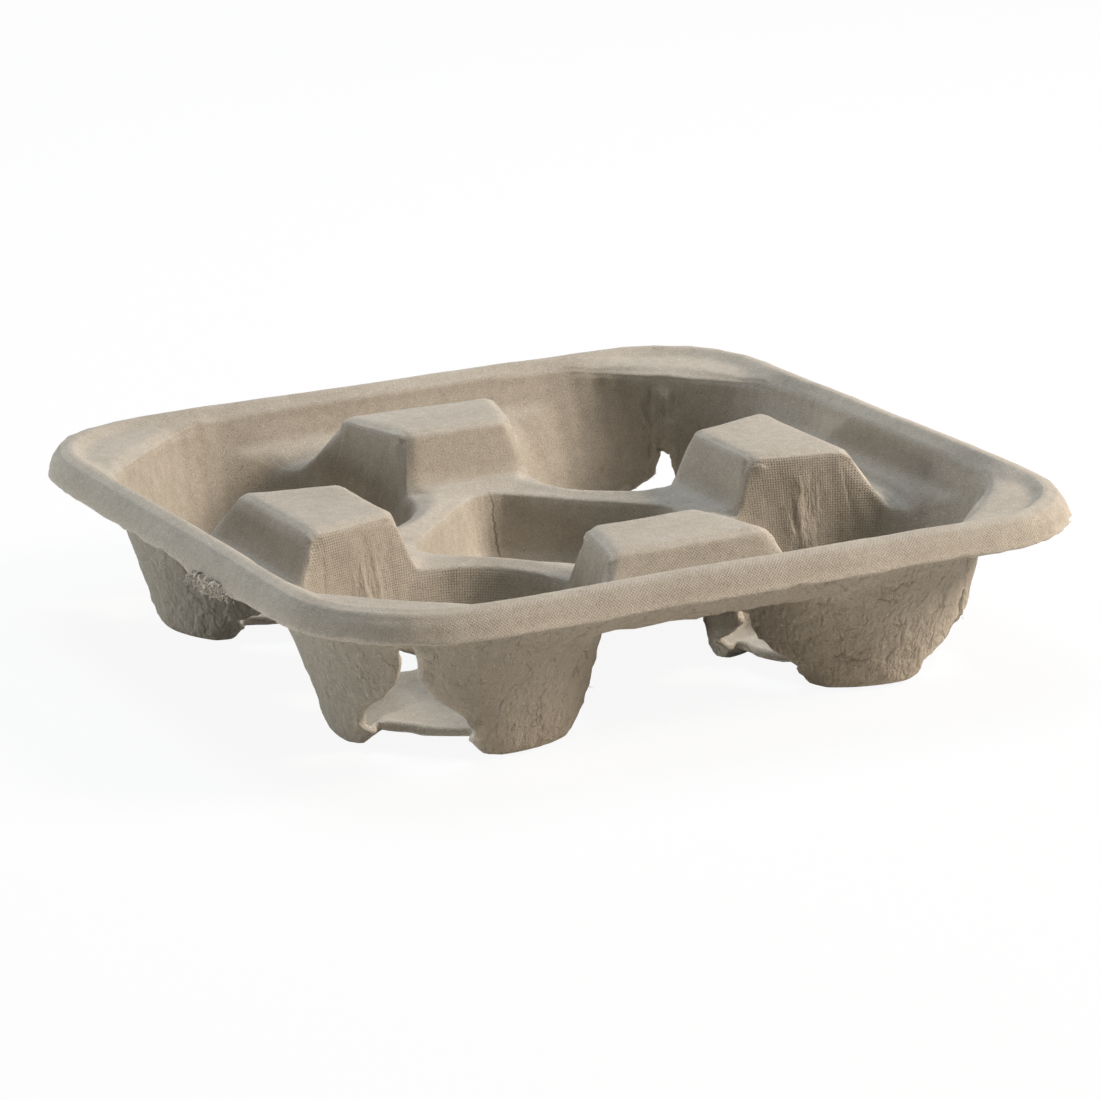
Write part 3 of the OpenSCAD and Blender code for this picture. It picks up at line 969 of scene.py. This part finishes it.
@dataclass
class PulpSkin:
    """The carrier's skin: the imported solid, rounded off, roughened and worn, in mm and degrees."""

    form: CarrierForm
    finish: PulpFinish
    levels: int = 2
    merge: float = 0.02
    edge_angle: float = 58.0
    edge_spacing: float = 0.6
    join_flat: float = 60.0
    join_square: float = 100.0
    ease_turns: int = 2
    crisp_turns: int = 6
    crisp_share: float = 1.2
    crisp_most: float = 0.65
    rim_hold: float = 0.25
    rim_band: Span = (5.0, 11.0)
    ledge_out: Span = (138.0, 152.0)
    ledge_rise: Span = (33.0, 37.0)
    wall_calm: float = 0.6
    wall_fall: Span = (34.0, 26.0)
    floor_rise: Span = (0.2, 3.0)
    ray_lift: float = 0.15
    fray_width: float = 1.3
    bark_least: float = 0.4
    bark_span: Span = (-95.0, 10.0)
    edges: Array = field(init=False)

    def build(self, solid: Object) -> Object:
        """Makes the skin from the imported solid.

        Args:
            solid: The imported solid's object.

        Returns:
            The finished piece.
        """
        coarse, self.edges = self.coarse_mesh(solid)
        mesh = self.rounded(coarse)
        mesh.update()
        points = self.read(mesh, "co") / MM
        normals = self.read(mesh, "normal")
        under = self.under_skin(mesh, points)
        bark = under * (self.bark_least + (1 - self.bark_least) * step(points[:, 0], *self.bark_span))
        frayed = self.near_edges(points)
        crumpled = CrumpledBands(self.form).find(points)
        marked, weave = MeshMarks(self.form).lay(points, normals, under, crumpled)
        moved = points + PulpLumps(self.form).moves(points, normals, bark, frayed, crumpled)
        changes = FormChanges(self.form)
        moved[:, 2] += changes.shelves(points) - WornLip(self.form).drop(points) * frayed
        moved[:, :2] += changes.feet(points)
        crisp = self.crisp(mesh, points, normals) * (1 - frayed) * self.held(points, under)
        moved += normals * crisp[:, None]
        mesh.vertices.foreach_set("co", (moved * MM).ravel())
        stored = {"under": under, "bark": bark, "frayed": frayed, "crumpled": crumpled, "marked": marked}
        for name, values in stored.items():
            store(mesh, name, values)
        attribute = mesh.attributes.new("weave", "FLOAT_VECTOR", "POINT")
        attribute.data.foreach_set("vector", weave.ravel())
        piece = dressed(SKIN, mesh, self.finish.build())
        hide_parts(NODE)
        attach(piece, BODY)
        return piece

    def coarse_mesh(self, solid: Object) -> tuple[Mesh, Array]:
        """Copies the solid as four-sided faces and finds its free edges.

        Args:
            solid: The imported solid's object.

        Returns:
            The copy, and places along its sharp free edges in mm.
        """
        shape = bmesh.new()
        shape.from_mesh(solid.data)
        bmesh.ops.remove_doubles(shape, verts=shape.verts, dist=self.merge * MM)
        spots: list[Vector] = []
        for edge in shape.edges:
            if not edge.is_manifold or edge.calc_face_angle() <= math.radians(self.edge_angle):
                continue
            count = max(1, round(edge.calc_length() / (self.edge_spacing * MM)))
            first, last = (v.co for v in edge.verts)
            spots.extend(first.lerp(last, i / count) for i in range(count + 1))
        bmesh.ops.join_triangles(
            shape,
            faces=shape.faces,
            angle_face_threshold=math.radians(self.join_flat),
            angle_shape_threshold=math.radians(self.join_square),
        )
        mesh = bpy.data.meshes.new("coarse_skin")
        shape.to_mesh(mesh)
        shape.free()
        return mesh, np.array(spots) / MM

    def rounded(self, coarse: Mesh) -> Mesh:
        """Divides the copy into a fine mesh and eases its flat facets.

        Args:
            coarse: The copy with few faces.

        Returns:
            The fine mesh.
        """
        holder = placed("coarse_skin", coarse)
        modifier = holder.modifiers.new("divide", "SUBSURF")
        modifier.subdivision_type = "SIMPLE"
        modifier.levels = self.levels
        modifier.render_levels = self.levels
        mesh = settled(holder, SKIN)
        bpy.data.meshes.remove(coarse)
        shape = bmesh.new()
        shape.from_mesh(mesh)
        ease(shape, self.ease_turns)
        shape.to_mesh(mesh)
        shape.free()
        return mesh

    def crisp(self, mesh: Mesh, points: Array, normals: Array) -> Array:
        """Finds how far each point moves outwards so that the edges and creases draw tighter.

        Args:
            mesh: The fine mesh.
            points: Its points in mm.
            normals: Directions of the surface.

        Returns:
            The moves along the normals in mm.
        """
        shape = bmesh.new()
        shape.from_mesh(mesh)
        ease(shape, self.crisp_turns)
        soft = np.array([v.co for v in shape.verts]) / MM
        shape.free()
        proud = np.sum((points - soft) * normals, axis=1)
        return np.clip(proud * self.crisp_share, -self.crisp_most, self.crisp_most)

    def held(self, points: Array, under: Array) -> Array:
        """Gives the share of the tightening that each place takes, most of it on the corner ledges.

        Args:
            points: Places in mm.
            under: 1 on the lower skin.

        Returns:
            The share that each place takes.
        """
        plan = np.abs(points[:, :2])
        z = points[:, 2]
        inner = step(np.max(plan, axis=1), *(self.form.half - inset for inset in self.rim_band))
        rim = self.rim_hold + (1 - self.rim_hold) * inner
        ledge = step(np.sum(plan, axis=1), *self.ledge_out) * step(z, *self.ledge_rise)
        wall = 1 - self.wall_calm * under * step(z, *self.wall_fall)
        return rim * (1 + ledge) * wall * step(z, *self.floor_rise)

    @staticmethod
    def read(mesh: Mesh, name: str) -> Array:
        """Reads a property of a mesh's points, one row for each point."""
        found = np.empty(len(mesh.vertices) * 3)
        mesh.vertices.foreach_get(name, found)
        return found.reshape(-1, 3)

    def under_skin(self, mesh: Mesh, points: Array) -> Array:
        """Tells the lower skin from the upper one: only the lower has a wall right above it.

        Args:
            mesh: The fine mesh.
            points: Its points in mm.

        Returns:
            1 on the lower skin, 0 on the upper.
        """
        corners = [tuple(p) for p in points.tolist()]
        tree = BVHTree.FromPolygons(corners, [tuple(f.vertices) for f in mesh.polygons])
        up = Vector((0, 0, 1))
        hits = [tree.ray_cast(Vector(p) + up * self.ray_lift, up)[0] is not None for p in corners]
        return np.array(hits, float)

    def near_edges(self, points: Array) -> Array:
        """Finds what lies along the free edges of the lip and the slots.

        Args:
            points: Places in mm.

        Returns:
            1 on an edge, falling to 0 beside it.
        """
        tree = KDTree(len(self.edges))
        for index, spot in enumerate(self.edges.tolist()):
            tree.insert(spot, index)
        tree.balance()
        gaps = np.array([tree.find(p)[2] for p in points.tolist()])
        return np.exp(-gaps / self.fray_width)


@dataclass
class TornFibres:
    """Fibres and flakes that stand out of the torn lip and the slots' edges, in mm."""

    form: CarrierForm
    material: Material
    seed: int = 11
    bends: int = 5
    wobble: float = 0.55
    thinning: float = 0.75
    paleness: float = 2.2
    edge_count: int = 420
    edge_low: float = 5.0
    edge_sway: float = 0.8
    lip_margin: float = 2.0
    lip_length: Span = (0.4, 0.9)
    slot_length: Span = (0.6, 2.0)
    edge_thick: Span = (0.04, 0.09)
    tuft_count: int = 230
    tuft_middle: float = -28.0
    tuft_spread: float = 6.5
    tuft_out: Span = (-0.4, 1.2)
    tuft_down: Span = (-0.2, 2.4)
    tuft_way: Span = (-0.7, -0.6)
    tuft_sway: float = 0.9
    tuft_length: Span = (0.8, 2.4)
    tuft_thick: Span = (0.07, 0.2)
    flake_count: int = 48
    flake_spread: float = 3.4
    flake_near: float = 1.3
    flake_drop: Span = (0.8, 3.4)
    flake_out: Span = (-0.4, 0.7)
    flake_lift: float = 0.4
    flake_least: float = 0.6
    flake_size: Span = (0.9, 0.8)
    flake_width: Span = (0.5, 0.9)
    flake_thick: Span = (0.2, 0.45)
    flake_rough: tuple[Span, Span] = ((0.7, 0.35), (0.28, 0.14))
    curve: Curve = field(init=False)
    random: np.random.Generator = field(init=False)

    def build(self, edges: Array) -> Object:
        """Makes all the fibres as one piece.

        Args:
            edges: Places along the skin's free edges in mm.

        Returns:
            The finished piece.
        """
        self.random = np.random.default_rng(self.seed)
        self.curve = bpy.data.curves.new(FIBRES, "CURVE")
        self.curve.dimensions = "3D"
        self.curve.bevel_depth = MM
        self.curve.bevel_resolution = 0
        self.curve.use_fill_caps = True
        self.on_edges(edges)
        self.tuft()
        mesh = settled(placed("torn_fibres_path", self.curve), FIBRES)
        self.flakes(mesh)
        store(mesh, "frayed", np.full(len(mesh.vertices), self.paleness))
        piece = dressed(FIBRES, mesh, self.material)
        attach(piece, BODY)
        return piece

    def on_edges(self, edges: Array) -> None:
        """Sets short hairs along the slots' edges and the lip's lower edge.

        Args:
            edges: Places along the free edges in mm.
        """
        above = edges[edges[:, 2] > self.edge_low]
        for spot in above[self.random.integers(len(above), size=self.edge_count)]:
            on_lip = spot[2] > self.form.lip_low - self.lip_margin
            way = np.array([0.0, 0.0, -1.0]) + self.random.normal(0, self.edge_sway, 3)
            length = self.random.uniform(*(self.lip_length if on_lip else self.slot_length))
            self.fibre(spot, way, length, self.random.uniform(*self.edge_thick))

    def tuft(self) -> None:
        """Hangs the curly torn clump under the left lip."""
        draw = self.random.uniform
        for _ in range(self.tuft_count):
            along = self.random.normal(self.tuft_middle, self.tuft_spread)
            out = -self.form.half - draw(*self.tuft_out)
            spot = np.array([out, along, self.form.lip_low - draw(*self.tuft_down)])
            way = np.array([self.tuft_way[0], self.random.normal(0, self.tuft_sway), self.tuft_way[1]])
            self.fibre(spot, way, draw(*self.tuft_length), draw(*self.tuft_thick))

    def flakes(self, mesh: Mesh) -> None:
        """Adds the clump's torn flakes of pulp to the fibres' mesh.

        Args:
            mesh: The fibres' mesh.
        """
        draw = self.random.uniform
        shape = bmesh.new()
        shape.from_mesh(mesh)
        for number in range(self.flake_count):
            spread = self.flake_spread if number % 3 else self.tuft_spread
            along = self.random.normal(self.tuft_middle, spread)
            near = math.exp(-(((along - self.tuft_middle) / (self.flake_near * self.flake_spread)) ** 2))
            drop = draw(0.0, self.flake_drop[0] + self.flake_drop[1] * near)
            out = -self.form.half - draw(*self.flake_out)
            spot = Vector((out, along, self.form.lip_low + self.flake_lift - drop))
            size = draw(self.flake_least, self.flake_size[0] + self.flake_size[1] * near)
            angle = draw(0, math.pi)
            turn = Matrix.Rotation(angle, 4, Vector(self.random.normal(0, 1, 3)).normalized())
            flat = Matrix.Diagonal((1.0, draw(*self.flake_width), draw(*self.flake_thick), 1.0))
            place = Matrix.Translation(spot * MM) @ turn @ flat @ Matrix.Scale(size * MM, 4)
            ball = bmesh.ops.create_icosphere(shape, subdivisions=3, radius=1.0, matrix=place)
            for vert in ball["verts"]:
                where = vert.co / MM
                shifts = [noise.noise_vector(where / lump) * height for lump, height in self.flake_rough]
                vert.co += (shifts[0] + shifts[1]) * MM
        shape.to_mesh(mesh)
        shape.free()

    def fibre(self, spot: Array, way: Array, length: float, thick: float) -> None:
        """Adds one bent fibre that thins towards its end.

        Args:
            spot: Where it starts, in mm.
            way: Where it heads.
            length: Its length in mm.
            thick: Its radius at the start in mm.
        """
        line = self.curve.splines.new("POLY")
        last = self.bends - 1
        line.points.add(last)
        place = np.array(spot)
        way = way / np.linalg.norm(way)
        for index, point in enumerate(line.points):
            point.co = (*(place * MM), 1.0)
            point.radius = thick * (1 - self.thinning * index / last)
            way = way + self.random.normal(0, self.wobble, 3)
            way = way / np.linalg.norm(way)
            place = place + way * length / last


@dataclass(frozen=True)
class SoftBox:
    """One square studio lamp, aimed at the middle of the floor."""

    name: str
    place: Triple
    size: float
    power: float
    colour: Triple

    def build(self) -> None:
        """Hangs the lamp."""
        lamp = bpy.data.lights.new(self.name, "AREA")
        lamp.shape = "SQUARE"
        lamp.size = self.size
        lamp.energy = self.power
        lamp.color = self.colour
        holder = placed(self.name, lamp)
        holder.location = self.place
        holder.rotation_euler = (-Vector(self.place)).to_track_quat("-Z", "Y").to_euler()


@dataclass
class Studio:
    """Floor, soft light, white surroundings and the camera, in metres and degrees."""

    floor_size: float = 8.0
    ambient: float = 0.06
    ambient_colour: Colour = (0.97, 1.0, 1.03, 1.0)
    boxes: tuple[SoftBox, ...] = (
        SoftBox("top_light", (0.25, 0.55, 1.5), 0.9, 14.5, (0.89, 1.0, 1.13)),
        SoftBox("key_light", (1.45, -0.84, 1.09), 0.6, 44.0, (1.0, 0.88, 0.77)),
        SoftBox("fill_light", (-1.5, 0.75, 0.2), 0.4, 10.5, (0.96, 1.0, 1.02)),
    )
    azimuth: float = -27.16
    elevation: float = 16.168
    roll: float = -1.159
    distance: float = 1.2083
    target: Triple = (-0.00209, -0.00507, 0.02378)
    lens: float = 154.97
    sensor: float = 36.0
    clip: Span = (0.01, 50.0)

    def build(self) -> None:
        """Sets up the whole studio."""
        self.floor()
        self.surroundings()
        for box in self.boxes:
            box.build()
        self.camera()
        bpy.context.scene.view_settings.view_transform = "Standard"

    def floor(self) -> None:
        """Lays the floor under the carrier."""
        shape = bmesh.new()
        bmesh.ops.create_grid(shape, x_segments=1, y_segments=1, size=self.floor_size / 2)
        mesh = bpy.data.meshes.new("floor")
        shape.to_mesh(mesh)
        shape.free()
        mesh.materials.append(FloorFinish().build())
        made = placed("floor", mesh)
        made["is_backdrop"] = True

    def surroundings(self) -> None:
        """Fills the surroundings with soft light, white where the camera sees them."""
        world = bpy.data.worlds.new("white_room")
        graph = Graph(world)
        seen = graph.seen()
        lights = ((self.ambient_colour, self.ambient), (WHITE, 1.0))
        soft, white = (
            graph.node("ShaderNodeBackground", {}, {"Color": colour, "Strength": strength}).outputs[0]
            for colour, strength in lights
        )
        graph.node("ShaderNodeOutputWorld", {}, {"Surface": graph.blend(seen, soft, white)})
        bpy.context.scene.world = world

    def camera(self) -> None:
        """Puts the camera at the photograph's viewing angle."""
        data = bpy.data.cameras.new("camera")
        data.lens = self.lens
        data.sensor_width = self.sensor
        data.sensor_fit = "HORIZONTAL"
        data.clip_start, data.clip_end = self.clip
        data.dof.use_dof = False
        around = Matrix.Rotation(math.radians(self.azimuth), 4, "Z")
        tip = Matrix.Rotation(math.radians(90 - self.elevation), 4, "X")
        lean = Matrix.Rotation(math.radians(self.roll), 4, "Z")
        back = Matrix.Translation((0, 0, self.distance))
        holder = placed("camera", data)
        holder.matrix_world = Matrix.Translation(self.target) @ around @ tip @ lean @ back
        bpy.context.scene.camera = holder


def corners(box: tuple[Vector, Vector]) -> list[list[float]]:
    """Writes a box as plain lists of numbers."""
    return [[float(v) for v in corner] for corner in box]


def main() -> None:
    """Builds the carrier's looks and the studio in order."""
    logging.basicConfig(level=logging.INFO)
    noise.seed_set(NOISE_SEED)
    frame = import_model()
    solid_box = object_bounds()
    low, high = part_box(NODE)
    size = (high - low) / MM
    form = CarrierForm(width=size.x, height=size.z)
    skin = PulpSkin(form, PulpFinish())
    piece = skin.build(frame["nodes"][NODE])
    log.info("%s: %d faces", piece.name, len(piece.data.polygons))
    fibres = TornFibres(form, piece.data.materials[0]).build(skin.edges)
    log.info("%s: %d faces", fibres.name, len(fibres.data.polygons))
    Studio().build()
    log.info("studio: floor, lights and camera")
    {"cad": corners(solid_box), "visual": corners(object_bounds())}


if __name__ == "__main__":
    main()
